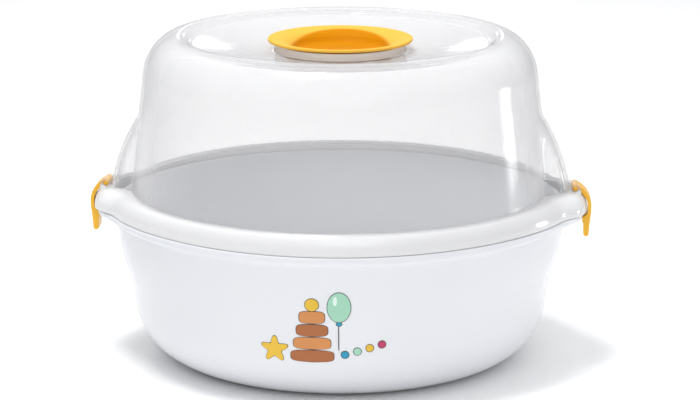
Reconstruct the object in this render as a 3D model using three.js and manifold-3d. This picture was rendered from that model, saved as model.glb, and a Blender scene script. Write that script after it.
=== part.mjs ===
// Microwave steam sterilizer for baby bottles.
// Millimetres, +Z up. The origin is on the table under the middle of the tub; the ears point to +X and -X
// and the decorated front faces -Y.
import * as THREE from 'three';
import { mergeVertices } from 'three/addons/utils/BufferGeometryUtils.js';
import Module from 'manifold-3d';

const wasm = await Module();
wasm.setup();

// ---- driving dimensions ------------------------------------------------------------------------------

const AROUND = 60;            // facets round the tub and the lid
const CROWDING = 0.5;         // how far the facets crowd together at the ears
const GAP = 0.3;              // clearance between pieces that rest on each other

// ears: the rim grows from a circle to a soft oval, with a flat-tipped ear at each end
const OVAL_POWER = 6;
const OVAL_GROWTH = 9;
const EAR_ANGLE = THREE.MathUtils.degToRad(13);
const WING_ANGLE = THREE.MathUtils.degToRad(10.3);

// tub
const FLOOR_RADIUS = 80.5;
const CORNER_RADIUS = 36.6;
const DRAFT = THREE.MathUtils.degToRad(8.4);
const TUB_WALL = 2.8;
const CREASE_HEIGHT = 49;     // the flare towards the ears starts here
const FLARE = 4;
const FLARE_POWER = 3.5;
const LEDGE_BOTTOM = 82;
const LEDGE_TOP = 85.5;
const LEDGE_RADIUS = 123.4;
const LEDGE_EAR = 4.8;
const UPSTAND_RADIUS = 120.9;
const UPSTAND_TOP = 91;
const UPSTAND_WALL = 2.1;
const NOTCH_REACH = 135.9;    // the tub's ear stops here behind a clip's nose

// lid
const LID_WALL = 2;
const SKIRT_BOTTOM = LEDGE_TOP + GAP;
const SKIRT_RADIUS = 123;
const SKIRT_EAR = 7.3;
const SKIRT_WALL = 1.6;
const FOOT_HEIGHT = 97.2;     // where the dome wall meets the flange
const FOOT_RADIUS = 118.6;
const WING_REACH = 10.7;
const WING_TOP = 138;
const SHOULDER_HEIGHT = 157;
const SHOULDER_RADIUS = 111.2;
const SHOULDER_ACROSS = 19.5;
const CREST_HEIGHT = 183.4;
const DISH_RADIUS = 84;       // the top dips inside the crest ring
const DISH_EDGE_HEIGHT = 179.2;
const DISH_HEIGHT = 174.2;
const NECK_RADIUS = 36;
const VENT_PLACES = [70, 77.5, 85];
const VENT_RADIUS = 1.6;

// handle
const HANDLE_RADIUS = 40.6;
const HANDLE_TOP = 181.5;
const HANDLE_EDGE = 1.7;
const CUP_RADIUS = 29.2;
const CUP_BOTTOM = 171.8;
const CUP_TOP = 176.6;        // the disc's underside rises from here to its edge
const POCKET_FLOOR = 173.5;
const HOOK_WIDTH = 12;
const HOOK_REACH = 1.8;
const HOOK_HEIGHT = 1.2;

// clips
const HINGE = { x: 132.4, z: 98 };
const BARREL_RADIUS = 2;
const STUD_RADIUS = 1.2;
const STUD_PLAY = 0.4;        // the studs turn loosely in the lugs
const CLIP_WIDTH = 12;
const LUG_INNER = CLIP_WIDTH / 2 + 0.6;
const LUG_THICKNESS = 2.4;
const LUG_RADIUS = 6.4;
const TAB_INNER = 137.4;
const TAB_OUTER = 140.4;
const TAB_BOTTOM = 70.3;
const NOSE_REACH = 136.7;     // how near the clip's nose comes to the tub

// rack
const RACK_RADIUS = 102;
const RACK_FLOOR = 28;
const RACK_PLATE = 2.2;
const SEAT_CIRCLE = 60;
const SEAT_RADIUS = 14;
const SEAT_RISE = 9;
const LEG_CIRCLE = 66;
const LEG_RADIUS = 4.5;
const DRAIN_RADIUS = 5;
const OUTER_DRAINS = 90;      // radius of the circle the ten outer drain holes are on
const INNER_DRAINS = 29;
const CENTRE_HOLE = 9;

// facets round the small pieces
const HANDLE_FACETS = 48;
const RACK_FACETS = 48;
const SEAT_FACETS = 18;
const HOLE_FACETS = 10;

// ---- colours -----------------------------------------------------------------------------------------

const white = { color: 0xf4f5f7, roughness: 0.22, metalness: 0 };
const clear = { color: 0xe9ebee, roughness: 0.08, metalness: 0, transparent: true, opacity: 0.35 };
const frosted = { color: 0xd9dcdf, roughness: 0.5, metalness: 0 };
const yellow = { color: 0xf7bd3c, roughness: 0.3, metalness: 0 };
const rackWhite = { color: 0xe6e7ee, roughness: 0.4, metalness: 0 };

// ---- solids ------------------------------------------------------------------------------------------

function weld(geometry) {
  geometry.deleteAttribute('normal');
  geometry.deleteAttribute('uv');
  const welded = mergeVertices(geometry, 1e-4);
  const faces = [];
  for (let i = 0; i < welded.index.count; i += 3) {
    const [a, b, c] = [welded.index.getX(i), welded.index.getX(i + 1), welded.index.getX(i + 2)];
    if (a !== b && b !== c && c !== a) faces.push(a, b, c);
  }
  welded.setIndex(faces);
  return welded;
}

function solid(geometry) {
  const welded = weld(geometry);
  return new wasm.Manifold(new wasm.Mesh({
    numProp: 3,
    vertProperties: new Float32Array(welded.attributes.position.array),
    triVerts: new Uint32Array(welded.index.array),
  }));
}

function geometryOf(manifold) {
  const mesh = manifold.getMesh();
  const geometry = new THREE.BufferGeometry();
  geometry.setAttribute('position', new THREE.BufferAttribute(mesh.vertProperties, 3));
  geometry.setIndex(new THREE.BufferAttribute(mesh.triVerts, 1));
  return geometry;
}

function piece(name, geometry, finish) {
  const shape = geometry.isBufferGeometry ? weld(geometry) : geometryOf(geometry);
  shape.computeVertexNormals();
  const mesh = new THREE.Mesh(shape, new THREE.MeshStandardMaterial(finish));
  mesh.name = name;
  return mesh;
}

const round = () => 0;
const oval = (angle) => Math.abs(Math.cos(angle)) ** OVAL_POWER;

// 1 at the tips of the ears, 0 away from them
function tip(angle, width) {
  const away = Math.asin(Math.abs(Math.sin(angle)));
  return Math.exp(-((away / width) ** 6));
}

// Turns a profile of [radius, height, growth] rows, where growth(angle) widens that ring.
function turned(profile, facets = AROUND, crowding = CROWDING) {
  const rows = profile.map(([radius, height]) => new THREE.Vector2(radius, height));
  const lathe = new THREE.LatheGeometry(rows, facets);
  const places = lathe.attributes.position;
  for (let i = 0; i < places.count; i += 1) {
    const [radius, height, growth = round] = profile[i % profile.length];
    const even = 2 * Math.PI * ((Math.floor(i / profile.length) % facets) / facets);
    const angle = even - 0.5 * crowding * Math.sin(2 * even);
    const reach = radius > 0 ? radius + growth(angle) : 0;
    places.setXYZ(i, reach * Math.cos(angle), reach * Math.sin(angle), height);
  }
  return lathe;
}

// Points on an arc of an ellipse, angles in radians from +X.
function arc(centreX, centreY, radiusX, radiusY, from, to, steps) {
  const points = [];
  for (let i = 0; i <= steps; i += 1) {
    const angle = from + (to - from) * (i / steps);
    points.push([centreX + radiusX * Math.cos(angle), centreY + radiusY * Math.sin(angle)]);
  }
  return points;
}

function cylinder(radius, bottom, top, x, y, sides = 12, radiusTop = radius) {
  const geometry = new THREE.CylinderGeometry(radiusTop, radius, top - bottom, sides);
  geometry.rotateX(Math.PI / 2);
  return solid(geometry.translate(x, y, (bottom + top) / 2));
}

// A round bar along Y.
function crossBar(radius, x, z, from, to, sides = 16) {
  const geometry = new THREE.CylinderGeometry(radius, radius, to - from, sides);
  return solid(geometry.translate(x, (from + to) / 2, z));
}

function block(x0, x1, y0, y1, z0, z1) {
  const geometry = new THREE.BoxGeometry(x1 - x0, y1 - y0, z1 - z0);
  return solid(geometry.translate((x0 + x1) / 2, (y0 + y1) / 2, (z0 + z1) / 2));
}

// A plate whose outline is drawn in the XZ plane, between two Y positions.
function plate(outline, from, to) {
  const shape = new THREE.Shape(outline.map(([x, z]) => new THREE.Vector2(x, z)));
  const geometry = new THREE.ExtrudeGeometry(shape, { depth: to - from, bevelEnabled: false });
  geometry.rotateX(Math.PI / 2);
  return solid(geometry.translate(0, to, 0));
}

// The same solid on the other ear.
const mirrored = (manifold) => manifold.rotate([0, 0, 180]);

// ---- tub ---------------------------------------------------------------------------------------------

function tub() {
  const flare = (share) => (angle) => FLARE * share * Math.abs(Math.cos(angle)) ** FLARE_POWER;
  const lip = (angle) => FLARE * oval(angle);
  const ledge = (angle) => OVAL_GROWTH * oval(angle) + LEDGE_EAR * tip(angle, EAR_ANGLE);
  const cornerEnd = Math.PI / 2 - DRAFT;
  const corner = (radius, steps) => arc(FLOOR_RADIUS, CORNER_RADIUS, radius, radius,
    -Math.PI / 2, -Math.PI / 2 + cornerEnd, steps);
  const wall = [[119.3, CREASE_HEIGHT, 0], [120.2, 55, 0.55], [121, 62, 0.85], [121.7, 71, 1]];
  const inner = UPSTAND_RADIUS - UPSTAND_WALL;
  const profile = [
    [0, 0],
    ...corner(CORNER_RADIUS, 9),
    ...wall.map(([radius, height, share]) => [radius, height, flare(share)]),
    [122, LEDGE_BOTTOM - 1.4, flare(1.05)],
    [LEDGE_RADIUS - 1, LEDGE_BOTTOM, ledge],
    [LEDGE_RADIUS, LEDGE_BOTTOM + 0.9, ledge],
    [LEDGE_RADIUS, LEDGE_TOP - 0.5, ledge],
    [LEDGE_RADIUS - 0.5, LEDGE_TOP, ledge],
    [UPSTAND_RADIUS + 0.2, LEDGE_TOP, lip],
    [UPSTAND_RADIUS, UPSTAND_TOP - 0.8, lip],
    [UPSTAND_RADIUS - 0.8, UPSTAND_TOP, lip],
    [inner + 0.6, UPSTAND_TOP, lip],
    [inner, UPSTAND_TOP - 0.7, lip],
    ...[...wall].reverse().map(([radius, height, share]) => [radius - TUB_WALL, height, flare(share)]),
    ...corner(CORNER_RADIUS - TUB_WALL, 7).reverse(),
    [0, TUB_WALL],
  ];
  const notch = block(NOTCH_REACH, NOTCH_REACH + 6, -CLIP_WIDTH / 2 - 1, CLIP_WIDTH / 2 + 1,
    LEDGE_BOTTOM - 2, LEDGE_TOP + 1);
  return solid(turned(profile)).subtract(notch).subtract(mirrored(notch));
}

// ---- lid ---------------------------------------------------------------------------------------------

function lidShell() {
  const wing = (height) => (angle) => {
    const rise = (height - FOOT_HEIGHT) / (WING_TOP - FOOT_HEIGHT);
    return WING_REACH * Math.max(0, 1 - rise * rise) * tip(angle, WING_ANGLE);
  };
  const skirt = (angle) => OVAL_GROWTH * oval(angle) + SKIRT_EAR * tip(angle, EAR_ANGLE);
  const wallRadius = (height) => THREE.MathUtils.mapLinear(height, FOOT_HEIGHT, SHOULDER_HEIGHT,
    FOOT_RADIUS, SHOULDER_RADIUS);
  // the flange is an elliptical quarter from the dome's foot out to the skirt
  const flange = (turn, inset) => {
    const out = Math.sin(turn);
    const radius = THREE.MathUtils.lerp(FOOT_RADIUS, SKIRT_RADIUS, out) - inset;
    const height = SKIRT_BOTTOM + 1 + (FOOT_HEIGHT - SKIRT_BOTTOM - 1 - inset) * Math.cos(turn);
    const growth = (angle) => THREE.MathUtils.lerp(wing(FOOT_HEIGHT)(angle), skirt(angle), out);
    return [radius, height, growth];
  };
  const quarter = [90, 72, 54, 36, 18].map(THREE.MathUtils.degToRad);
  const wallHeights = [102, 108, 115, 122, 130, WING_TOP];
  const shoulder = (inset, steps) => arc(SHOULDER_RADIUS - SHOULDER_ACROSS, SHOULDER_HEIGHT,
    SHOULDER_ACROSS - inset, CREST_HEIGHT - SHOULDER_HEIGHT - inset, 0, Math.PI / 2, steps);
  const outside = [
    [SKIRT_RADIUS - SKIRT_WALL + 0.3, SKIRT_BOTTOM, skirt],
    [SKIRT_RADIUS - 0.3, SKIRT_BOTTOM, skirt],
    ...quarter.map((turn) => flange(turn, 0)),
    [FOOT_RADIUS, FOOT_HEIGHT, wing(FOOT_HEIGHT)],
    ...wallHeights.map((height) => [wallRadius(height), height, wing(height)]),
    ...shoulder(0, 6),
    [DISH_RADIUS + 3, CREST_HEIGHT - 1.4],
    [DISH_RADIUS, DISH_EDGE_HEIGHT],
    [NECK_RADIUS + 4, DISH_HEIGHT],
    [0, DISH_HEIGHT],
  ];
  const inside = [
    [0, DISH_HEIGHT - LID_WALL],
    [NECK_RADIUS + 4, DISH_HEIGHT - LID_WALL],
    [DISH_RADIUS, DISH_EDGE_HEIGHT - LID_WALL],
    ...shoulder(LID_WALL, 5).reverse(),
    ...[...wallHeights].reverse().map((height) => [wallRadius(height) - LID_WALL, height, wing(height)]),
    [FOOT_RADIUS - LID_WALL, FOOT_HEIGHT - 1, wing(FOOT_HEIGHT)],
    ...[...quarter].reverse().map((turn) => flange(turn, SKIRT_WALL)),
  ];
  // from the axis under the dome, round the skirt and back to the axis on top
  return turned([...inside, ...outside]);
}

function lug(from) {
  const outline = [
    [127.2, 95.2], [132, 94.6], [134.4, 93.4], [135.6, 91.8],
    ...arc(129.4, 96.3, LUG_RADIUS, LUG_RADIUS, 0, Math.PI / 2, 6),
    [127, 102.4],
  ];
  return plate(outline, from, from + LUG_THICKNESS);
}

function lid() {
  let shell = solid(lidShell());
  const pocket = crossBar(BARREL_RADIUS + 0.45, HINGE.x, HINGE.z, -LUG_INNER, LUG_INNER, 20);
  const holes = crossBar(STUD_RADIUS + STUD_PLAY, HINGE.x, HINGE.z, -LUG_INNER - 5, LUG_INNER + 5);
  const lugs = lug(LUG_INNER).add(lug(-LUG_INNER - LUG_THICKNESS));
  const through = [DISH_HEIGHT - 8, CREST_HEIGHT + 5];
  for (const side of [(part) => part, mirrored]) {
    shell = shell.subtract(side(pocket)).add(side(lugs)).subtract(side(holes));
    for (const place of VENT_PLACES) {
      shell = shell.subtract(side(cylinder(VENT_RADIUS, ...through, place, 0, HOLE_FACETS)));
    }
  }
  return shell.subtract(cylinder(CUP_RADIUS + 0.4, ...through, 0, 0, HANDLE_FACETS));
}

// ---- handle ------------------------------------------------------------------------------------------

function collar() {
  const bottom = DISH_HEIGHT + GAP;
  const top = HANDLE_TOP - HANDLE_EDGE - 1.2;
  const inner = CUP_RADIUS + 0.6;
  const profile = [
    [inner, bottom], [NECK_RADIUS + 1.4, bottom], [NECK_RADIUS + 0.2, bottom + 1.4],
    [NECK_RADIUS, top - 0.4], [NECK_RADIUS - 0.4, top], [inner, CUP_TOP - GAP],
    [inner, bottom],
  ];
  return turned(profile, HANDLE_FACETS, 0);
}

function handle() {
  const underside = HANDLE_TOP - HANDLE_EDGE;
  const profile = [
    [0, CUP_BOTTOM], [CUP_RADIUS - 0.6, CUP_BOTTOM], [CUP_RADIUS, CUP_BOTTOM + 0.6],
    [CUP_RADIUS, CUP_TOP], [31.5, CUP_TOP + 0.7], [34, CUP_TOP + 2], [36.5, CUP_TOP + 2.7],
    [HANDLE_RADIUS - 1, underside], [HANDLE_RADIUS - 0.2, underside + 0.4],
    [HANDLE_RADIUS, HANDLE_TOP - HANDLE_EDGE / 2], [HANDLE_RADIUS - 0.3, HANDLE_TOP - 0.3],
    [HANDLE_RADIUS - 1, HANDLE_TOP],
    // the top funnels smoothly down into the pocket
    [38, HANDLE_TOP - 0.2], [36, HANDLE_TOP - 0.6], [34, HANDLE_TOP - 1.1], [32, HANDLE_TOP - 1.8],
    [30, HANDLE_TOP - 2.8], [28, HANDLE_TOP - 4.3], [27, HANDLE_TOP - 5.7], [25.5, POCKET_FLOOR + 0.8],
    [23, POCKET_FLOOR], [0, POCKET_FLOOR],
  ];
  let body = solid(turned(profile, HANDLE_FACETS, 0));
  // three snap hooks hold the handle under the lid's top
  const half = HOOK_WIDTH / 2;
  const hookTop = DISH_HEIGHT - LID_WALL - GAP;
  const hookBottom = hookTop - HOOK_HEIGHT;
  for (const turn of [90, 210, 330]) {
    const leg = block(CUP_RADIUS - 3, CUP_RADIUS - 0.8, -half, half, hookBottom, CUP_BOTTOM + 1);
    const nose = block(CUP_RADIUS - 2, CUP_RADIUS + HOOK_REACH, -half, half, hookBottom, hookTop);
    body = body.add(leg.add(nose).rotate([0, 0, turn]));
  }
  return body;
}

// ---- clips -------------------------------------------------------------------------------------------

function clip() {
  const outline = [
    // over the ear's edge, round the nose and down the inside of the tab
    [134.4, 96.6], [136.5, 94.6], [138.65, 91.8], [139.65, 89], [139.85, 85.8], [139.5, 83.4], [138.4, 82],
    [NOSE_REACH, 80.8], [NOSE_REACH, 78.6], [TAB_INNER, 77], [TAB_INNER, TAB_BOTTOM + 0.8],
    // round the fingertip and back up outside
    [TAB_INNER + 0.7, TAB_BOTTOM], [TAB_OUTER - 0.7, TAB_BOTTOM], [TAB_OUTER, TAB_BOTTOM + 0.8],
    [141, 79], [141.7, 84.5], [141.7, 89], [140.7, 92.6], [138.7, 95.8], [136.1, 98.2], [133.4, 99.6],
    [HINGE.x, HINGE.z + 1], [HINGE.x, HINGE.z - 1],
  ];
  const half = CLIP_WIDTH / 2;
  const stud = LUG_INNER + LUG_THICKNESS - 0.3;
  return plate(outline, -half, half)
    .add(crossBar(BARREL_RADIUS, HINGE.x, HINGE.z, -half, half))
    .add(crossBar(STUD_RADIUS, HINGE.x, HINGE.z, -stud, stud, 12));
}

// ---- rack --------------------------------------------------------------------------------------------

function rack() {
  const top = RACK_FLOOR + RACK_PLATE;
  const rimInner = RACK_RADIUS - 2;
  const profile = [
    [0, RACK_FLOOR], [RACK_RADIUS - 1, RACK_FLOOR], [RACK_RADIUS, RACK_FLOOR + 1], [RACK_RADIUS, top + 6],
    [rimInner, top + 6], [rimInner, top + 0.8], [rimInner - 1, top], [0, top],
  ];
  const around = (radius, degrees) => {
    const angle = THREE.MathUtils.degToRad(degrees);
    return [radius * Math.cos(angle), radius * Math.sin(angle)];
  };
  const seatTop = top + SEAT_RISE;
  const below = RACK_FLOOR - 1;
  const seats = [0, 1, 2, 3, 4].map((i) => around(SEAT_CIRCLE, 90 + 72 * i));
  let body = solid(turned(profile, RACK_FACETS, 0));
  for (const [x, y] of seats) {
    body = body.add(cylinder(SEAT_RADIUS + 2, RACK_FLOOR + 1, seatTop, x, y, SEAT_FACETS));
  }
  for (const [x, y] of seats) {
    body = body.subtract(cylinder(SEAT_RADIUS, below, seatTop + 1, x, y, SEAT_FACETS));
  }
  for (let i = 0; i < 10; i += 1) {
    const [x, y] = around(OUTER_DRAINS, 36 * i + 18);
    body = body.subtract(cylinder(DRAIN_RADIUS, below, top + 1, x, y, HOLE_FACETS));
  }
  for (let i = 0; i < 5; i += 1) {
    const [x, y] = around(INNER_DRAINS, 54 + 72 * i);
    body = body.subtract(cylinder(DRAIN_RADIUS, below, top + 1, x, y, HOLE_FACETS));
    const [legX, legY] = around(LEG_CIRCLE, 54 + 72 * i);
    body = body.add(cylinder(LEG_RADIUS - 1, TUB_WALL + GAP, RACK_FLOOR + 1, legX, legY, 12, LEG_RADIUS));
  }
  return body.subtract(cylinder(CENTRE_HOLE, below, top + 1, 0, 0, 20));
}

// ---- assembly ----------------------------------------------------------------------------------------

const sterilizer = new THREE.Group();
sterilizer.add(piece('base_bowl', tub(), white));
sterilizer.add(piece('bottle_rack', rack(), rackWhite));
sterilizer.add(piece('lid_dome', lid(), clear));
sterilizer.add(piece('handle_collar', collar(), frosted));
sterilizer.add(piece('handle_disc', handle(), yellow));
sterilizer.add(piece('right_clip', clip(), yellow));
sterilizer.add(piece('left_clip', mirrored(clip()), yellow));

export default sterilizer;
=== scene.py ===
"""Steam sterilizer for baby bottles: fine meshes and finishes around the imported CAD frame."""
import math

import bmesh
import bpy
import numpy as np
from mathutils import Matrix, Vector


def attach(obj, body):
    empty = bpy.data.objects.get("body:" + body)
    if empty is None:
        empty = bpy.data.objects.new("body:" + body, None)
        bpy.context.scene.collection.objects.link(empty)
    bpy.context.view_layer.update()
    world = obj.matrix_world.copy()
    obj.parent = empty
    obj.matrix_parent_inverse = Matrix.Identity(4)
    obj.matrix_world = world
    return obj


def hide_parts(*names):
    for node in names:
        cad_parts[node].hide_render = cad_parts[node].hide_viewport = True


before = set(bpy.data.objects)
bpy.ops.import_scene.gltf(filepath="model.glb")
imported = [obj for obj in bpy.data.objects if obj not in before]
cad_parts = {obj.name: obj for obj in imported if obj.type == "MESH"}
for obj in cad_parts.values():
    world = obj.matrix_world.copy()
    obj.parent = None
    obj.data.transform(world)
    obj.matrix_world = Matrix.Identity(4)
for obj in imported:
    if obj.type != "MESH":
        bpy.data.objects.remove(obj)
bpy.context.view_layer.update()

MM = 0.001

# ---- driving dimensions, in millimetres as in the CAD ------------------------------------------------

AROUND = 240                 # facets round the tub and the lid
CROWDING = 0.5               # how much closer the facets lie towards the ears
GAP = 0.3                    # left between pieces that touch

OVAL_POWER = 6
OVAL_GROWTH = 9
EAR_ANGLE = math.radians(13)
WING_ANGLE = math.radians(10.3)

FLOOR_RADIUS = 80.5
CORNER_RADIUS = 36.6
DRAFT = math.radians(8.4)
TUB_WALL = 2.8
CREASE_RADIUS = 119.3
WALL_SPREAD = 2.8            # how much the wall widens between the crease and the ledge
CREASE_HEIGHT = 49
FLARE_HEIGHT = 71
FLARE = 4
FLARE_POWER = 3.5
LEDGE_BOTTOM = 82
LEDGE_TOP = 85.5
LEDGE_RADIUS = 123.4
LEDGE_EAR = 4.8
UPSTAND_RADIUS = 120.9
UPSTAND_TOP = 91
UPSTAND_WALL = 2.1
NOTCH_REACH = 135.9

LID_WALL = 2
SKIRT_BOTTOM = LEDGE_TOP + GAP
SKIRT_RADIUS = 123
SKIRT_EAR = 7.3
SKIRT_WALL = 1.6
FOOT_HEIGHT = 97.2
FOOT_RADIUS = 118.6
WING_REACH = 10.7
WING_TOP = 138
SHOULDER_HEIGHT = 157
SHOULDER_RADIUS = 111.2
SHOULDER_ACROSS = 19.5
CREST_HEIGHT = 183.4
DISH_RADIUS = 84
DISH_EDGE_HEIGHT = 179.2
DISH_HEIGHT = 174.2
NECK_RADIUS = 36
VENT_PLACES = (70, 77.5, 85)
VENT_RADIUS = 1.6

HANDLE_RADIUS = 40.6
HANDLE_TOP = 181.5
HANDLE_EDGE = 1.7
CUP_RADIUS = 29.2
CUP_BOTTOM = 171.8
CUP_TOP = 176.6
POCKET_FLOOR = 173.5
POCKET_ACROSS = 27.6          # half sizes of the deeper-tinted oval of painted shade over the pocket
POCKET_ALONG = 34.5
HOOK_WIDTH = 12
HOOK_REACH = 1.8
HOOK_HEIGHT = 1.2

HINGE_X = 132.4
HINGE_Z = 98
BARREL_RADIUS = 2
STUD_RADIUS = 1.2
STUD_PLAY = 0.4
CLIP_WIDTH = 12
LUG_INNER = CLIP_WIDTH / 2 + 0.6
LUG_THICKNESS = 2.4
LUG_RADIUS = 6.4
TAB_INNER = 137.4
TAB_OUTER = 140.4
TAB_BOTTOM = 70.3
NOSE_REACH = 136.7

RACK_RADIUS = 102
RACK_FLOOR = 28
RACK_PLATE = 2.2
SEAT_CIRCLE = 60
SEAT_RADIUS = 14
SEAT_RISE = 9
LEG_CIRCLE = 66
LEG_RADIUS = 4.5

# ---- camera and light --------------------------------------------------------------------------------

VIEW_AZIMUTH = math.radians(3.5)
VIEW_ELEVATION = math.radians(13.1)
VIEW_DISTANCE = 1.6
VIEW_LENS = 145.3
VIEW_CENTRE = (0.0054, -0.0069)      # what the camera aims at, right of and above the middle of the tub's rim
RIM_HEIGHT = 0.095
CEILING_LIGHT = 0.8
FRONT_LIGHT = 0.71
SIDE_LIGHT = 0.13


def make_camera():
    back = Vector((math.sin(VIEW_AZIMUTH) * math.cos(VIEW_ELEVATION),
                   -math.cos(VIEW_AZIMUTH) * math.cos(VIEW_ELEVATION), math.sin(VIEW_ELEVATION)))
    right = Vector((math.cos(VIEW_AZIMUTH), math.sin(VIEW_AZIMUTH), 0))
    up = back.cross(right)
    middle = Vector((0, 0, RIM_HEIGHT))
    data = bpy.data.cameras.new("camera")
    data.lens = VIEW_LENS
    data.clip_end = 50
    camera = bpy.data.objects.new("camera", data)
    bpy.context.scene.collection.objects.link(camera)
    camera.location = middle + VIEW_DISTANCE * back
    aim = middle + VIEW_CENTRE[0] * right + VIEW_CENTRE[1] * up
    camera.rotation_euler = (aim - camera.location).to_track_quat("-Z", "Y").to_euler()
    bpy.context.scene.camera = camera


def area_light(name, place, target, size, power):
    data = bpy.data.lights.new(name, "AREA")
    data.shape = "RECTANGLE"
    data.size, data.size_y = size
    data.energy = power
    light = bpy.data.objects.new(name, data)
    bpy.context.scene.collection.objects.link(light)
    light.location = place
    light.rotation_euler = (Vector(target) - Vector(place)).to_track_quat("-Z", "Y").to_euler()


def make_studio():
    scene = bpy.context.scene
    scene.view_settings.view_transform = "Standard"
    world = bpy.data.worlds.new("studio")
    scene.world = world
    world.use_nodes = True
    nodes, links = world.node_tree.nodes, world.node_tree.links
    background = nodes["Background"]
    # a white ceiling, a fairly bright front and back, and darker sides that shade the edges of the tub
    direction = nodes.new("ShaderNodeTexCoord")
    split = nodes.new("ShaderNodeSeparateXYZ")
    links.new(direction.outputs["Generated"], split.inputs[0])
    ceiling = nodes.new("ShaderNodeMapRange")
    ceiling.interpolation_type = "SMOOTHSTEP"
    ceiling.inputs["From Min"].default_value = 0.3
    ceiling.inputs["From Max"].default_value = 0.85
    ceiling.inputs["To Max"].default_value = CEILING_LIGHT
    links.new(split.outputs["Z"], ceiling.inputs["Value"])
    depth = nodes.new("ShaderNodeMath")
    depth.operation = "MULTIPLY"
    links.new(split.outputs["Y"], depth.inputs[0])
    links.new(split.outputs["Y"], depth.inputs[1])
    walls = nodes.new("ShaderNodeMapRange")
    walls.inputs["To Min"].default_value = SIDE_LIGHT
    walls.inputs["To Max"].default_value = FRONT_LIGHT
    links.new(depth.outputs[0], walls.inputs["Value"])
    total = nodes.new("ShaderNodeMath")
    links.new(ceiling.outputs[0], total.inputs[0])
    links.new(walls.outputs[0], total.inputs[1])
    links.new(total.outputs[0], background.inputs["Strength"])
    background.inputs["Color"].default_value = (0.98, 0.985, 1, 1)

    area_light("key", (-0.26, -0.1, 1.6), (0, 0, 0.05), (0.46, 0.46), 16)
    area_light("front_fill", (0.25, -2.1, 1.0), (0, 0, 0.1), (1.2, 0.9), 6)
    area_light("right_panel", (1.25, 0.42, 0.1), (0, 0, 0.14), (0.2, 0.3), 3)
    # two small soft boxes behind, mirrored in the lid's dished top around the vents
    area_light("vent_gloss_left", (-0.18, 1.5, 0.478), (-0.078, 0, 0.178), (0.06, 0.16), 0.09)
    area_light("vent_gloss_right", (0, 1.5, 0.44), (0.078, 0, 0.178), (0.06, 0.16), 0.09)

    bpy.ops.mesh.primitive_grid_add(x_subdivisions=8, y_subdivisions=8, size=16)
    floor = bpy.context.object
    floor.name = "floor"
    finish = bpy.data.materials.new("floor_white")
    finish.use_nodes = True
    shader = finish.node_tree.nodes["Principled BSDF"]
    shader.inputs["Base Color"].default_value = (0.98, 0.98, 0.98, 1)
    shader.inputs["Roughness"].default_value = 0.55
    shader.inputs["Specular IOR Level"].default_value = 0.25
    floor.data.materials.append(finish)


make_camera()
make_studio()

# ---- finishes ----------------------------------------------------------------------------------------


def plastic(name, colour, roughness, grain=0.04, bump=0.02, subsurface=0.0, scatter=(1, 1, 1), gloss=0.5):
    """Moulded plastic: faint changes of colour and roughness, and a fine orange-peel bump."""
    material = bpy.data.materials.new(name)
    material.use_nodes = True
    nodes, links = material.node_tree.nodes, material.node_tree.links
    shader = nodes["Principled BSDF"]
    place = nodes.new("ShaderNodeTexCoord")

    clouds = nodes.new("ShaderNodeTexNoise")
    clouds.inputs["Scale"].default_value = 18
    clouds.inputs["Detail"].default_value = 3
    links.new(place.outputs["Object"], clouds.inputs["Vector"])

    tint = nodes.new("ShaderNodeMix")
    tint.data_type = "RGBA"
    tint.inputs["A"].default_value = (*colour, 1)
    tint.inputs["B"].default_value = (*[c * (1 - grain) for c in colour], 1)
    links.new(clouds.outputs["Fac"], tint.inputs["Factor"])
    links.new(tint.outputs["Result"], shader.inputs["Base Color"])

    spread = nodes.new("ShaderNodeMapRange")
    spread.inputs["From Min"].default_value = 0.3
    spread.inputs["From Max"].default_value = 0.7
    spread.inputs["To Min"].default_value = roughness * 0.85
    spread.inputs["To Max"].default_value = roughness * 1.15
    links.new(clouds.outputs["Fac"], spread.inputs["Value"])
    links.new(spread.outputs["Result"], shader.inputs["Roughness"])

    peel = nodes.new("ShaderNodeTexNoise")
    peel.inputs["Scale"].default_value = 420
    peel.inputs["Detail"].default_value = 2
    links.new(place.outputs["Object"], peel.inputs["Vector"])
    relief = nodes.new("ShaderNodeBump")
    relief.inputs["Strength"].default_value = bump
    relief.inputs["Distance"].default_value = 0.0002
    links.new(peel.outputs["Fac"], relief.inputs["Height"])
    links.new(relief.outputs["Normal"], shader.inputs["Normal"])

    shader.inputs["IOR"].default_value = 1.49
    shader.inputs["Specular IOR Level"].default_value = gloss
    shader.inputs["Subsurface Weight"].default_value = subsurface
    shader.inputs["Subsurface Radius"].default_value = scatter
    shader.inputs["Subsurface Scale"].default_value = 0.004
    return material


def painted_pocket_shade(material, colour, across, along):
    """Tints an oval over the pocket deeper: painted shade, standing in for light that bounces between its
    walls.
    """
    nodes, links = material.node_tree.nodes, material.node_tree.links
    shader = nodes["Principled BSDF"]
    place = nodes.new("ShaderNodeTexCoord")
    shrink = nodes.new("ShaderNodeVectorMath")
    shrink.operation = "MULTIPLY"
    shrink.inputs[1].default_value = (1 / (across * MM), 1 / (along * MM), 0)
    links.new(place.outputs["Object"], shrink.inputs[0])
    reach = nodes.new("ShaderNodeVectorMath")
    reach.operation = "LENGTH"
    links.new(shrink.outputs[0], reach.inputs[0])
    depth = nodes.new("ShaderNodeMapRange")
    depth.interpolation_type = "SMOOTHSTEP"
    depth.inputs["From Min"].default_value = 1.03
    depth.inputs["From Max"].default_value = 0.95
    links.new(reach.outputs["Value"], depth.inputs["Value"])
    tint = nodes.new("ShaderNodeMix")
    tint.data_type = "RGBA"
    tint.inputs["B"].default_value = (*colour, 1)
    links.new(shader.inputs["Base Color"].links[0].from_socket, tint.inputs["A"])
    links.new(depth.outputs["Result"], tint.inputs["Factor"])
    links.new(tint.outputs["Result"], shader.inputs["Base Color"])
    return material


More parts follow.
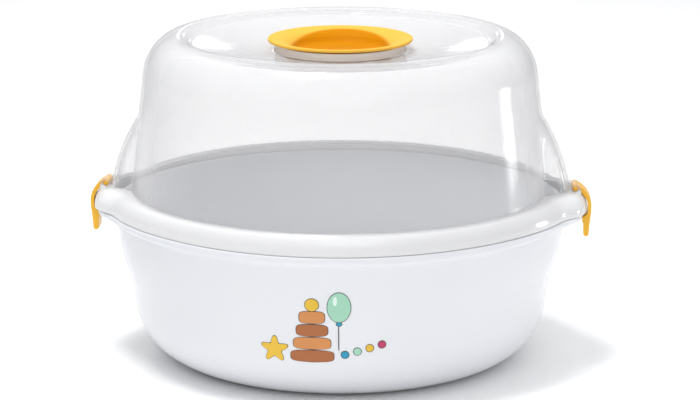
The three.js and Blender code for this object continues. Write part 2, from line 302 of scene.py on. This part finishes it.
def clear_plastic(name, colour, roughness, haze, edge_haze, edge_shade, milky_below=0.0, milk=0.0):
    """Clear plastic with a milky haze, denser where it is seen edge on and below a given height, and a
    painted shade that darkens its colour where it is seen edge on.
    """
    material = plastic(name, colour, roughness, grain=0.03, bump=0.001)
    nodes, links = material.node_tree.nodes, material.node_tree.links
    shader = nodes["Principled BSDF"]
    facing = nodes.new("ShaderNodeLayerWeight")
    facing.inputs["Blend"].default_value = 0.5
    steep = nodes.new("ShaderNodeMath")
    steep.operation = "POWER"
    steep.inputs[1].default_value = 2.6
    links.new(facing.outputs["Facing"], steep.inputs[0])
    cloud = nodes.new("ShaderNodeTexNoise")
    cloud.inputs["Scale"].default_value = 9
    place = nodes.new("ShaderNodeTexCoord")
    links.new(place.outputs["Object"], cloud.inputs["Vector"])
    density = nodes.new("ShaderNodeMapRange")
    density.inputs["To Min"].default_value = haze
    density.inputs["To Max"].default_value = edge_haze
    links.new(steep.outputs[0], density.inputs["Value"])
    uneven = nodes.new("ShaderNodeMapRange")
    uneven.inputs["To Min"].default_value = 0.9
    uneven.inputs["To Max"].default_value = 1.1
    links.new(cloud.outputs["Fac"], uneven.inputs["Value"])
    mottled = nodes.new("ShaderNodeMath")
    mottled.operation = "MULTIPLY"
    links.new(density.outputs["Result"], mottled.inputs[0])
    links.new(uneven.outputs["Result"], mottled.inputs[1])

    split = nodes.new("ShaderNodeSeparateXYZ")
    links.new(place.outputs["Object"], split.inputs[0])
    rim = nodes.new("ShaderNodeMapRange")
    rim.interpolation_type = "SMOOTHSTEP"
    rim.inputs["From Min"].default_value = (milky_below + 1.5) * MM
    rim.inputs["From Max"].default_value = (milky_below - 1.5) * MM
    rim.inputs["To Max"].default_value = milk
    links.new(split.outputs["Z"], rim.inputs["Value"])
    cover = nodes.new("ShaderNodeMath")
    cover.operation = "MAXIMUM"
    links.new(mottled.outputs[0], cover.inputs[0])
    links.new(rim.outputs["Result"], cover.inputs[1])

    # painted shade: the colour darkens towards where the plastic is seen edge on, outside the milky rim
    outline = nodes.new("ShaderNodeMath")
    outline.operation = "POWER"
    outline.inputs[1].default_value = 6
    links.new(facing.outputs["Facing"], outline.inputs[0])
    clear_part = nodes.new("ShaderNodeMapRange")
    clear_part.inputs["To Min"].default_value = 1
    clear_part.inputs["To Max"].default_value = 0
    links.new(rim.outputs["Result"], clear_part.inputs["Value"])
    painted_edge_shade_weight = nodes.new("ShaderNodeMath")
    painted_edge_shade_weight.operation = "MULTIPLY"
    links.new(outline.outputs[0], painted_edge_shade_weight.inputs[0])
    links.new(clear_part.outputs["Result"], painted_edge_shade_weight.inputs[1])
    shade = nodes.new("ShaderNodeMix")
    shade.data_type = "RGBA"
    shade.inputs["B"].default_value = (*edge_shade, 1)
    links.new(painted_edge_shade_weight.outputs[0], shade.inputs["Factor"])
    links.new(shader.inputs["Base Color"].links[0].from_socket, shade.inputs["A"])
    links.new(shade.outputs["Result"], shader.inputs["Base Color"])
    open_way = nodes.new("ShaderNodeBsdfTransparent")
    open_way.inputs["Color"].default_value = (0.985, 0.984, 0.984, 1)
    either = nodes.new("ShaderNodeMixShader")
    links.new(cover.outputs[0], either.inputs[0])
    links.new(open_way.outputs[0], either.inputs[1])
    links.new(shader.outputs[0], either.inputs[2])
    links.new(either.outputs[0], nodes["Material Output"].inputs["Surface"])
    return material


TUB_FINISH = plastic("tub_white", (0.755, 0.768, 0.795), 0.22, grain=0.02, subsurface=0.08, gloss=0.12)
INK_DARK = plastic("ink_dark", (0.03, 0.022, 0.02), 0.35)
INK_BROWN = plastic("ink_brown", (0.42, 0.13, 0.03), 0.35, grain=0.25)
INK_ORANGE = plastic("ink_orange", (0.66, 0.26, 0.07), 0.35, grain=0.2)
INK_YELLOW = plastic("ink_yellow", (0.8, 0.5, 0.03), 0.35, grain=0.15)
INK_MINT = plastic("ink_mint", (0.36, 0.68, 0.5), 0.35, grain=0.2)
INK_BLUE = plastic("ink_blue", (0.01, 0.3, 0.48), 0.35, grain=0.15)
INK_PINK = plastic("ink_pink", (0.5, 0.03, 0.12), 0.35, grain=0.15)
INK_PALE = plastic("ink_pale", (0.7, 0.85, 0.78), 0.35)
RACK_FINISH = plastic("rack_white", (0.8, 0.81, 0.85), 0.38, grain=0.03)
# edge_shade is a painted shade for the dark lines along the edges of the clear parts
LID_FINISH = clear_plastic("lid_clear", (0.85, 0.85, 0.857), roughness=0.08, haze=0.15, edge_haze=0.85,
                           edge_shade=(0.1, 0.1, 0.11), milky_below=FOOT_HEIGHT, milk=0.8)
NECK_FINISH = clear_plastic("neck_frosted", (0.95, 0.95, 0.95), roughness=0.5, haze=0.82, edge_haze=0.9,
                            edge_shade=(0.7, 0.69, 0.67))
# the handle's pocket gets a deeper tint: painted shade for light bouncing inside the pocket
HANDLE_FINISH = painted_pocket_shade(plastic("handle_yellow", (0.87, 0.47, 0.07), 0.5, gloss=0.03), (0.57, 0.21, 0.001),
                         POCKET_ACROSS, POCKET_ALONG)
CLIP_FINISH = plastic("clip_yellow", (0.84, 0.44, 0.015), 0.34, subsurface=0.05, scatter=(1, 0.6, 0.1))

# ---- mesh tools --------------------------------------------------------------------------------------


def mesh_object(name, points, faces):
    """A mesh from points in millimetres."""
    data = bpy.data.meshes.new(name)
    data.from_pydata([tuple(MM * c for c in p) for p in points], [], faces)
    piece = bpy.data.objects.new(name, data)
    bpy.context.scene.collection.objects.link(piece)
    return piece


def tip(angle, width):
    away = np.arcsin(np.abs(np.sin(angle)))
    return np.exp(-((away / width) ** 6))


def growth_at(angle):
    """How far one unit of oval, ear, wing and flare growth moves a point at this angle."""
    along = np.abs(np.cos(angle))
    oval, flare = along ** OVAL_POWER, along ** FLARE_POWER
    return np.array([oval, tip(angle, EAR_ANGLE), tip(angle, WING_ANGLE), flare])


def row(radius, height, oval=0.0, ear=0.0, wing=0.0, flare=0.0, fillet=0.0):
    return np.array([radius, height, oval, ear, wing, flare]), fillet


def softened(rows, closed, steps=4):
    """The profile with each corner that asks for it rounded by a short curve."""
    out = []
    for i, (here, fillet) in enumerate(rows):
        if fillet == 0 or (not closed and i in (0, len(rows) - 1)):
            out.append(here)
            continue
        before, after = rows[i - 1][0], rows[(i + 1) % len(rows)][0]
        start = here + (before - here) * min(0.45, fillet / np.linalg.norm((before - here)[:2]))
        end = here + (after - here) * min(0.45, fillet / np.linalg.norm((after - here)[:2]))
        for t in np.linspace(0, 1, steps + 1):
            out.append((1 - t) ** 2 * start + 2 * t * (1 - t) * here + t ** 2 * end)
    return out


def turned(name, rows, closed=False, facets=AROUND, crowding=CROWDING):
    """Turns a profile round Z. An open profile starts and ends on the axis."""
    profile = softened(rows, closed)
    even = 2 * math.pi * np.arange(facets) / facets
    angles = even - 0.5 * crowding * np.sin(2 * even)
    rings = profile if closed else profile[1:-1]
    points = []
    for angle in angles:
        growth = growth_at(angle)
        for ring in rings:
            reach = ring[0] + float(ring[2:] @ growth)
            points.append((reach * math.cos(angle), reach * math.sin(angle), ring[1]))
    count = len(rings)
    faces = []
    for i in range(facets):
        a, b = i * count, ((i + 1) % facets) * count
        for j in range(count if closed else count - 1):
            k = (j + 1) % count
            faces.append((a + j, b + j, b + k, a + k))
    if not closed:
        bottom, top = len(points), len(points) + 1
        points += [(0, 0, profile[0][1]), (0, 0, profile[-1][1])]
        for i in range(facets):
            a, b = i * count, ((i + 1) % facets) * count
            faces.append((bottom, b, a))
            faces.append((a + count - 1, b + count - 1, top))
    return mesh_object(name, points, faces)


def arc_rows(centre, radii, start, end, steps, **growth):
    rows = []
    for angle in np.linspace(start, end, steps):
        radius = centre[0] + radii[0] * math.cos(angle)
        height = centre[1] + radii[1] * math.sin(angle)
        rows.append(row(radius, height, **growth))
    return rows


def prism(name, outline, start, end, along="Y"):
    """An outline pushed along one axis: (x, z) points along Y, or (x, y) points along Z."""
    count = len(outline)
    if along == "Y":
        points = [(x, start, z) for x, z in outline] + [(x, end, z) for x, z in outline]
    else:
        points = [(x, y, start) for x, y in outline] + [(x, y, end) for x, y in outline]
    faces = [tuple(range(count)), tuple(range(2 * count - 1, count - 1, -1))]
    faces += [(i, i + count, (i + 1) % count + count, (i + 1) % count) for i in range(count)]
    piece = mesh_object(name, points, faces)
    mend = bmesh.new()
    mend.from_mesh(piece.data)
    bmesh.ops.recalc_face_normals(mend, faces=mend.faces)
    mend.to_mesh(piece.data)
    mend.free()
    return piece


def circle(x, y, radius, sides):
    turns = [2 * math.pi * i / sides for i in range(sides)]
    return [(x + radius * math.cos(t), y + radius * math.sin(t)) for t in turns]


def baked(piece):
    """Applies the piece's modifiers to its mesh."""
    shown = piece.evaluated_get(bpy.context.evaluated_depsgraph_get())
    data = bpy.data.meshes.new_from_object(shown)
    piece.modifiers.clear()
    piece.data = data
    return piece


def combined(piece, others, operation):
    """Joins or cuts the piece with other closed meshes, and removes those."""
    for other in others:
        step = piece.modifiers.new("step", "BOOLEAN")
        step.operation = operation
        step.solver = "EXACT"
        step.object = other
        baked(piece)
        bpy.data.objects.remove(other)
    return piece


def bevelled(piece, width, segments=3, angle=35):
    step = piece.modifiers.new("bevel", "BEVEL")
    step.width = width * MM
    step.segments = segments
    step.limit_method = "ANGLE"
    step.angle_limit = math.radians(angle)
    step.harden_normals = False
    return baked(piece)


def turned_half(piece):
    """Turns the mesh half a turn round Z, to the other ear."""
    for vertex in piece.data.vertices:
        vertex.co.x, vertex.co.y = -vertex.co.x, -vertex.co.y
    return piece


def finished(piece, material, body, node=None, sharp=38):
    piece.data.materials.clear()
    piece.data.materials.append(material)
    piece.data.shade_smooth()
    piece.data.set_sharp_from_angle(angle=math.radians(sharp))
    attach(piece, body)
    if node:
        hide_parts(node)
    return piece


# ---- tub ---------------------------------------------------------------------------------------------


def flare_share(height):
    left = max(0.0, 1 - (height - CREASE_HEIGHT) / (FLARE_HEIGHT - CREASE_HEIGHT))
    return 1 - left ** 2 if height > CREASE_HEIGHT else 0.0


def tub_wall(height, inset):
    """The wall above the crease: almost round at the front, flaring towards the ears."""
    share = (height - CREASE_HEIGHT) / (LEDGE_BOTTOM - CREASE_HEIGHT)
    radius = CREASE_RADIUS + WALL_SPREAD * share * (1.25 - 0.25 * share)
    return row(radius - inset, height, flare=FLARE * flare_share(height))


def make_tub():
    corner_end = -DRAFT
    inner = UPSTAND_RADIUS - UPSTAND_WALL
    centre = (FLOOR_RADIUS, CORNER_RADIUS)
    heights = np.linspace(CREASE_HEIGHT, LEDGE_BOTTOM - 1.6, 14)
    inner_corner = CORNER_RADIUS - TUB_WALL
    ledge = {"oval": OVAL_GROWTH, "ear": LEDGE_EAR}
    rows = [row(0, 0)]
    rows += [row(r, 0) for r in (30, 60)]
    rows += arc_rows(centre, (CORNER_RADIUS, CORNER_RADIUS), -math.pi / 2, corner_end, 26)
    rows += [tub_wall(h, 0) for h in heights]
    rows += [
        row(LEDGE_RADIUS, LEDGE_BOTTOM, fillet=0.8, **ledge),
        row(LEDGE_RADIUS, LEDGE_TOP, fillet=0.7, **ledge),
        row(UPSTAND_RADIUS, LEDGE_TOP, oval=FLARE, fillet=0.3),
        row(UPSTAND_RADIUS, UPSTAND_TOP, oval=FLARE, fillet=0.8),
        row(inner, UPSTAND_TOP, oval=FLARE, fillet=0.8),
    ]
    rows += [tub_wall(h, TUB_WALL) for h in heights[::-1]]
    rows += arc_rows(centre, (inner_corner, inner_corner), corner_end, -math.pi / 2, 22)
    rows += [row(r, TUB_WALL) for r in (60, 30)]
    rows += [row(0, TUB_WALL)]
    tub = turned("tub", rows)
    half = CLIP_WIDTH / 2 + 1
    notch = [(NOTCH_REACH, LEDGE_BOTTOM - 2), (NOTCH_REACH + 6, LEDGE_BOTTOM - 2),
             (NOTCH_REACH + 6, LEDGE_TOP + 1), (NOTCH_REACH, LEDGE_TOP + 1)]
    notches = [prism("notch", notch, -half, half), turned_half(prism("notch", notch, -half, half))]
    combined(tub, notches, "DIFFERENCE")
    return finished(tub, TUB_FINISH, "tub", "base_bowl")


# ---- printed picture ---------------------------------------------------------------------------------

INK_THICKNESS = 0.12
OUTLINE_WIDTH = 0.35


def tub_front(height):
    """Radius of the tub's front at this height."""
    if height >= CREASE_HEIGHT:
        return tub_wall(height, 0)[0][0]
    drop = CORNER_RADIUS - height
    edge = CORNER_RADIUS * math.sin(DRAFT)
    if drop >= edge:
        return FLOOR_RADIUS + math.sqrt(CORNER_RADIUS ** 2 - drop ** 2)
    start = (FLOOR_RADIUS + CORNER_RADIUS * math.cos(DRAFT), CORNER_RADIUS - edge)
    share = (height - start[1]) / (CREASE_HEIGHT - start[1])
    return start[0] + (CREASE_RADIUS - start[0]) * share


def ink(name, centre, outline, material, layer=0):
    """A patch of ink on the tub's front. The outline is drawn round the centre, across and up."""
    count, steps = len(outline), 6
    lift = INK_THICKNESS * (1 + layer)
    points = []

    def place(across, height, lifted):
        radius = tub_front(height) + lifted
        angle = -math.pi / 2 + across / tub_front(height)
        points.append((radius * math.cos(angle), radius * math.sin(angle), height))

    place(centre[0], centre[1], lift)
    for step in range(1, steps + 1):
        for across, up in outline:
            share = step / steps
            place(centre[0] + share * across, centre[1] + share * up, lift)
    for across, up in outline:
        place(centre[0] + across, centre[1] + up, -0.05)
    faces = [(0, 1 + i, 1 + (i + 1) % count) for i in range(count)]
    for step in range(steps):
        a, b = 1 + step * count, 1 + (step + 1) * count
        faces += [(a + i, b + i, b + (i + 1) % count, a + (i + 1) % count) for i in range(count)]
    faces.append(tuple(range(len(points) - 1, len(points) - 1 - count, -1)))
    return finished(mesh_object(name, points, faces), material, "tub")


def oval_outline(across, up, count=48):
    turns = [2 * math.pi * i / count for i in range(count)]
    return [(across * math.cos(t), up * math.sin(t)) for t in turns]


def bar_outline(across, up, power=4, count=64):
    """A rounded bar: a superellipse."""
    out = []
    for i in range(count):
        t = 2 * math.pi * i / count
        reach = (abs(math.cos(t)) ** power + abs(math.sin(t)) ** power) ** (-1 / power)
        out.append((across * reach * math.cos(t), up * reach * math.sin(t)))
    return out


def star_outline(radius, points=5, waist=0.52, count=80):
    out = []
    for i in range(count):
        t = 2 * math.pi * i / count
        wave = 0.5 + 0.5 * math.cos(points * t)
        reach = radius * (waist + (1 - waist) * wave ** 1.4)
        out.append((reach * math.sin(t), reach * math.cos(t)))
    return out


def grown(outline, width):
    """The outline pushed outwards."""
    return [(x * (1 + width / math.hypot(x, y)), y * (1 + width / math.hypot(x, y))) for x, y in outline]


def printed(name, centre, outline, material):
    ink(name + "_line", centre, grown(outline, OUTLINE_WIDTH), INK_DARK)
    ink(name, centre, outline, material, layer=1)


def print_picture():
    """A plain stacking-ring toy, a balloon, a star and a row of dots."""
    rings = [(11.5, INK_BROWN), (10, INK_ORANGE), (8.4, INK_BROWN), (6.8, INK_ORANGE)]
    for i, (half_width, colour) in enumerate(rings):
        printed(f"print_ring_{i + 1}", (-8, 30 + 7.4 * i), bar_outline(half_width, 3.3), colour)
    printed("print_knob", (-8, 59.2), oval_outline(3.6, 3.4), INK_YELLOW)
    printed("print_balloon", (6.5, 58), oval_outline(6.2, 8.2), INK_MINT)
    printed("print_balloon_knot", (6.5, 48.6), oval_outline(1.4, 1), INK_BLUE)
    ink("print_string", (6.2, 40.6), bar_outline(0.28, 7.2, 6), INK_DARK)
    ink("print_balloon_shine", (4.4, 61.5), oval_outline(1.1, 2.6), INK_PALE, layer=2)
    printed("print_star", (-28.5, 33), star_outline(7.6), INK_YELLOW)
    for i, colour in enumerate([INK_BLUE, INK_MINT, INK_YELLOW, INK_PINK]):
        printed(f"print_dot_{i + 1}", (9.5 + 6.6 * i, 31 + 1.8 * i), oval_outline(2, 2, 32), colour)


# ---- lid ---------------------------------------------------------------------------------------------


def wing_share(height):
    rise = (height - FOOT_HEIGHT) / (WING_TOP - FOOT_HEIGHT)
    return max(0.0, 1 - rise * rise)


def lid_wall(height, inset):
    share = (height - FOOT_HEIGHT) / (SHOULDER_HEIGHT - FOOT_HEIGHT)
    radius = FOOT_RADIUS + (SHOULDER_RADIUS - FOOT_RADIUS) * share
    return row(radius - inset, height, wing=WING_REACH * wing_share(height))


def flange(turn, inset):
    out = math.sin(turn)
    radius = FOOT_RADIUS + (SKIRT_RADIUS - FOOT_RADIUS) * out - inset
    height = SKIRT_BOTTOM + 1 + (FOOT_HEIGHT - SKIRT_BOTTOM - 1 - inset) * math.cos(turn)
    return row(radius, height, oval=OVAL_GROWTH * out, ear=SKIRT_EAR * out, wing=WING_REACH * (1 - out))


def lug_outline():
    """The side of a hinge lug: a quarter disc that stands on the ear and leans on the wing."""
    outline = [(127.2, 95.2), (132, 94.6), (134.4, 93.4), (135.6, 91.8)]
    for turn in np.linspace(0, math.pi / 2, 14):
        outline.append((129.4 + LUG_RADIUS * math.cos(turn), 96.3 + LUG_RADIUS * math.sin(turn)))
    return outline + [(127, 102.4)]


def make_lid():
    shoulder_centre = (SHOULDER_RADIUS - SHOULDER_ACROSS, SHOULDER_HEIGHT)
    shoulder_rise = CREST_HEIGHT - SHOULDER_HEIGHT
    heights = np.concatenate([np.linspace(FOOT_HEIGHT + 0.6, WING_TOP, 22), [144, 150]])
    turns = np.radians(np.linspace(90, 4, 16))
    hole = CUP_RADIUS + 0.4
    rows = [
        row(SKIRT_RADIUS - SKIRT_WALL, SKIRT_BOTTOM, oval=OVAL_GROWTH, ear=SKIRT_EAR, fillet=0.5),
        row(SKIRT_RADIUS, SKIRT_BOTTOM, oval=OVAL_GROWTH, ear=SKIRT_EAR, fillet=0.5),
    ]
    rows += [flange(turn, 0) for turn in turns]
    rows += [lid_wall(h, 0) for h in heights]
    rows += arc_rows(shoulder_centre, (SHOULDER_ACROSS, shoulder_rise), 0, math.pi / 2, 20)
    rows += [
        row(DISH_RADIUS + 4.5, CREST_HEIGHT - 0.6),
        row(DISH_RADIUS + 2.6, CREST_HEIGHT - 1.8),
        row(DISH_RADIUS, DISH_EDGE_HEIGHT, fillet=2),
        row(NECK_RADIUS + 4, DISH_HEIGHT, fillet=4),
        row(hole, DISH_HEIGHT, fillet=0.4),
        row(hole, DISH_HEIGHT - LID_WALL, fillet=0.4),
        row(NECK_RADIUS + 4, DISH_HEIGHT - LID_WALL, fillet=4),
        row(DISH_RADIUS, DISH_EDGE_HEIGHT - LID_WALL, fillet=2),
    ]
    inner_radii = (SHOULDER_ACROSS - LID_WALL, shoulder_rise - LID_WALL)
    rows += arc_rows(shoulder_centre, inner_radii, math.pi / 2, 0, 18)
    rows += [lid_wall(h, LID_WALL) for h in heights[::-1]]
    rows += [flange(turn, SKIRT_WALL) for turn in turns[::-1]]
    lid = turned("lid", rows, closed=True)

    added, cut = [], []
    for side in (lambda piece: piece, turned_half):
        for start in (LUG_INNER, -LUG_INNER - LUG_THICKNESS):
            lug = bevelled(prism("lug", lug_outline(), start, start + LUG_THICKNESS), 0.35, 2)
            added.append(side(lug))
        bar = circle(HINGE_X, HINGE_Z, BARREL_RADIUS + 0.45, 32)
        cut.append(side(prism("pocket", bar, -LUG_INNER, LUG_INNER)))
        hole_bar = circle(HINGE_X, HINGE_Z, STUD_RADIUS + STUD_PLAY, 24)
        cut.append(side(prism("stud_holes", hole_bar, -LUG_INNER - 5, LUG_INNER + 5)))
        for place in VENT_PLACES:
            vent = circle(place, 0, VENT_RADIUS, 24)
            cut.append(side(prism("vent", vent, DISH_HEIGHT - 8, CREST_HEIGHT + 5, along="Z")))
    combined(lid, added, "UNION")
    combined(lid, cut, "DIFFERENCE")
    return finished(lid, LID_FINISH, "lid", "lid_dome")


# ---- handle ------------------------------------------------------------------------------------------


def make_collar():
    bottom, top = DISH_HEIGHT + GAP, HANDLE_TOP - HANDLE_EDGE - 1.2
    inner = CUP_RADIUS + 0.6
    rows = [
        row(inner, bottom), row(NECK_RADIUS + 1.4, bottom, fillet=0.3),
        row(NECK_RADIUS + 0.2, bottom + 1.4, fillet=1), row(NECK_RADIUS, top, fillet=0.5),
        row(inner, CUP_TOP - GAP),
    ]
    collar = turned("handle_neck", rows, closed=True, facets=160, crowding=0)
    return finished(collar, NECK_FINISH, "lid", "handle_collar")


def make_handle():
    """The disc's top funnels smoothly down into the finger pocket."""
    underside = HANDLE_TOP - HANDLE_EDGE
    rows = [
        row(0, CUP_BOTTOM), row(CUP_RADIUS, CUP_BOTTOM, fillet=0.8),
        row(CUP_RADIUS, CUP_TOP, fillet=0.6), row(31.5, CUP_TOP + 0.7, fillet=1),
        row(34, CUP_TOP + 2, fillet=1),
        row(36.5, CUP_TOP + 2.7, fillet=1), row(HANDLE_RADIUS, underside, fillet=0.9),
        row(HANDLE_RADIUS, HANDLE_TOP, fillet=0.9), row(38, HANDLE_TOP - 0.2, fillet=0.8),
        row(36, HANDLE_TOP - 0.6, fillet=0.8), row(34, HANDLE_TOP - 1.1, fillet=0.8),
        row(32, HANDLE_TOP - 1.8, fillet=0.9), row(30, HANDLE_TOP - 2.8, fillet=1),
        row(28, HANDLE_TOP - 4.3, fillet=0.8), row(27, HANDLE_TOP - 5.7, fillet=0.7),
        row(25.5, POCKET_FLOOR + 0.8, fillet=0.8), row(23, POCKET_FLOOR, fillet=1.2), row(0, POCKET_FLOOR),
    ]
    handle = turned("handle", rows, facets=200, crowding=0)
    under_lid = DISH_HEIGHT - LID_WALL - GAP
    hooks = []
    for turn in (90, 210, 330):
        outline = [(CUP_RADIUS - 3, under_lid - HOOK_HEIGHT),
                   (CUP_RADIUS + HOOK_REACH, under_lid - HOOK_HEIGHT),
                   (CUP_RADIUS + HOOK_REACH, under_lid), (CUP_RADIUS - 0.8, under_lid),
                   (CUP_RADIUS - 0.8, CUP_BOTTOM + 1), (CUP_RADIUS - 3, CUP_BOTTOM + 1)]
        hook = prism("hook", outline, -HOOK_WIDTH / 2, HOOK_WIDTH / 2)
        cos, sin = math.cos(math.radians(turn)), math.sin(math.radians(turn))
        for vertex in hook.data.vertices:
            x, y = vertex.co.x, vertex.co.y
            vertex.co.x, vertex.co.y = x * cos - y * sin, x * sin + y * cos
        hooks.append(hook)
    combined(handle, hooks, "UNION")
    return finished(handle, HANDLE_FINISH, "lid", "handle_disc")


# ---- clips -------------------------------------------------------------------------------------------


def clip_outline():
    return [
        (134.4, 96.6), (136.5, 94.6), (138.65, 91.8), (139.65, 89), (139.85, 85.8), (139.5, 83.4),
        (138.4, 82),
        (NOSE_REACH, 80.8), (NOSE_REACH, 78.6), (TAB_INNER, 77), (TAB_INNER, TAB_BOTTOM + 0.8),
        (TAB_INNER + 0.7, TAB_BOTTOM), (TAB_OUTER - 0.7, TAB_BOTTOM), (TAB_OUTER, TAB_BOTTOM + 0.8),
        (141, 79), (141.7, 84.5), (141.7, 89), (140.7, 92.6), (138.7, 95.8), (136.1, 98.2), (133.4, 99.6),
        (HINGE_X, HINGE_Z + 1), (HINGE_X, HINGE_Z - 1),
    ]


def make_clip(name, side, body, node):
    half = CLIP_WIDTH / 2
    clip = prism(name, clip_outline(), -half, half)
    barrel = prism("barrel", circle(HINGE_X, HINGE_Z, BARREL_RADIUS, 40), -half, half)
    combined(clip, [barrel], "UNION")
    bevelled(clip, 0.45, 3, 50)
    reach = LUG_INNER + LUG_THICKNESS - 0.3
    studs = bevelled(prism("studs", circle(HINGE_X, HINGE_Z, STUD_RADIUS, 24), -reach, reach), 0.2, 2, 50)
    combined(clip, [studs], "UNION")
    side(clip)
    return finished(clip, CLIP_FINISH, body, node, sharp=50)


# ---- rack --------------------------------------------------------------------------------------------


def around(radius, degrees):
    return radius * math.cos(math.radians(degrees)), radius * math.sin(math.radians(degrees))


def make_rack():
    top = RACK_FLOOR + RACK_PLATE
    rim_inner = RACK_RADIUS - 2
    rows = [
        row(0, RACK_FLOOR), row(RACK_RADIUS, RACK_FLOOR, fillet=1), row(RACK_RADIUS, top + 6, fillet=0.6),
        row(rim_inner, top + 6, fillet=0.6), row(rim_inner, top, fillet=1.4), row(0, top),
    ]
    rack = turned("rack", rows, facets=160, crowding=0)
    seats, holes = [], []
    for i in range(5):
        x, y = around(SEAT_CIRCLE, 90 + 72 * i)
        ring, bore = circle(x, y, SEAT_RADIUS + 2, 64), circle(x, y, SEAT_RADIUS, 64)
        seats.append(prism("seat", ring, RACK_FLOOR + 1, top + SEAT_RISE, along="Z"))
        holes.append(prism("hole", bore, RACK_FLOOR - 1, top + SEAT_RISE + 1, along="Z"))
        x, y = around(29, 54 + 72 * i)
        holes.append(prism("hole", circle(x, y, 5, 32), RACK_FLOOR - 1, top + 1, along="Z"))
        x, y = around(LEG_CIRCLE, 54 + 72 * i)
        leg = circle(x, y, LEG_RADIUS - 0.5, 32)
        seats.append(prism("leg", leg, TUB_WALL + GAP, RACK_FLOOR + 1, along="Z"))
    for i in range(10):
        x, y = around(90, 36 * i + 18)
        holes.append(prism("hole", circle(x, y, 5, 32), RACK_FLOOR - 1, top + 1, along="Z"))
    holes.append(prism("hole", circle(0, 0, 9, 48), RACK_FLOOR - 1, top + 1, along="Z"))
    combined(rack, seats, "UNION")
    combined(rack, holes, "DIFFERENCE")
    bevelled(rack, 0.4, 2, 60)
    return finished(rack, RACK_FINISH, "rack", "bottle_rack")


make_tub()
print_picture()
make_lid()
make_collar()
make_handle()
make_clip("clip_right", lambda piece: piece, "clip_right", "right_clip")
make_clip("clip_left", turned_half, "clip_left", "left_clip")
make_rack()
